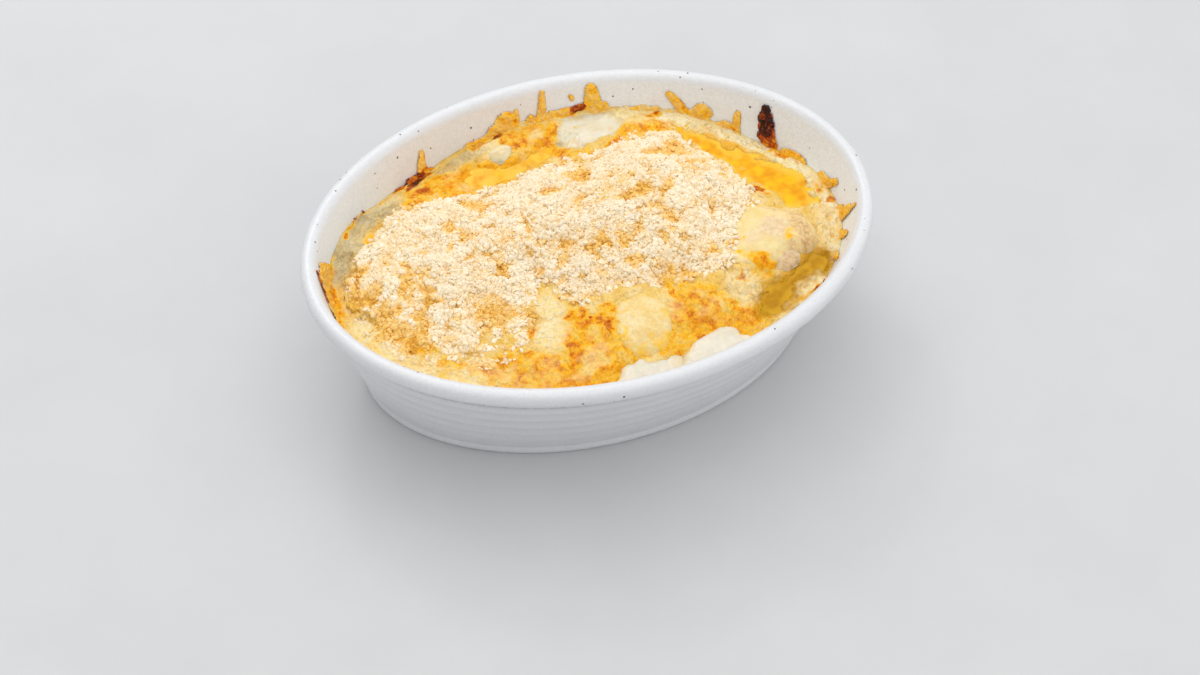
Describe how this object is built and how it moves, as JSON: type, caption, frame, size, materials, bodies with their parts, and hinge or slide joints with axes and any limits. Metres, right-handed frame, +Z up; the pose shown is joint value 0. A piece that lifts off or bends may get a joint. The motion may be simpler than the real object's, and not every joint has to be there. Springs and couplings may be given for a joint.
{
  "type": "baked lasagna in an oval dish",
  "caption": "Oval stoneware baking dish filled with a browned cheese lasagna under a long heap of grated cheese, with melted cheese and pools of oil.",
  "frame": {"origin": "middle of the underside of the foot, on the surface that the dish stands on", "axes": "+X along the dish, +Y across it, away from the side that shows in the picture, +Z up"},
  "size_m": [0.202, 0.149, 0.0608],
  "materials": {
    "glaze": "soft gloss white glaze with fine dark specks",
    "baked_cheese": "moist baked cheese and sauce, browned in patches",
    "grated_cheese": "matt pale crumbs",
    "filling": "grainy pinkish filling",
    "pasta": "moist cream pasta",
    "melted_cheese": "smooth melted cheese, satin",
    "mozzarella": "moist white cheese",
    "melted_mozzarella": "translucent melted white cheese",
    "oil": "bright yellow oil",
    "dark_oil": "deep golden oil"
  },
  "bodies": {
    "root": {"dish": "glaze", "lasagna": "baked_cheese", "grated_cheese": "grated_cheese", "filling": "filling", "pasta_fold": "pasta", "melted_cheese_round": "melted_cheese", "mozzarella_front_left": "mozzarella", "mozzarella_front_right": "mozzarella", "mozzarella_back": "melted_mozzarella", "cheese_pearl": "melted_mozzarella", "oil_back_right": "oil", "oil_back_left": "oil", "oil_front_right": "dark_oil"}
  },
  "joints": []
}
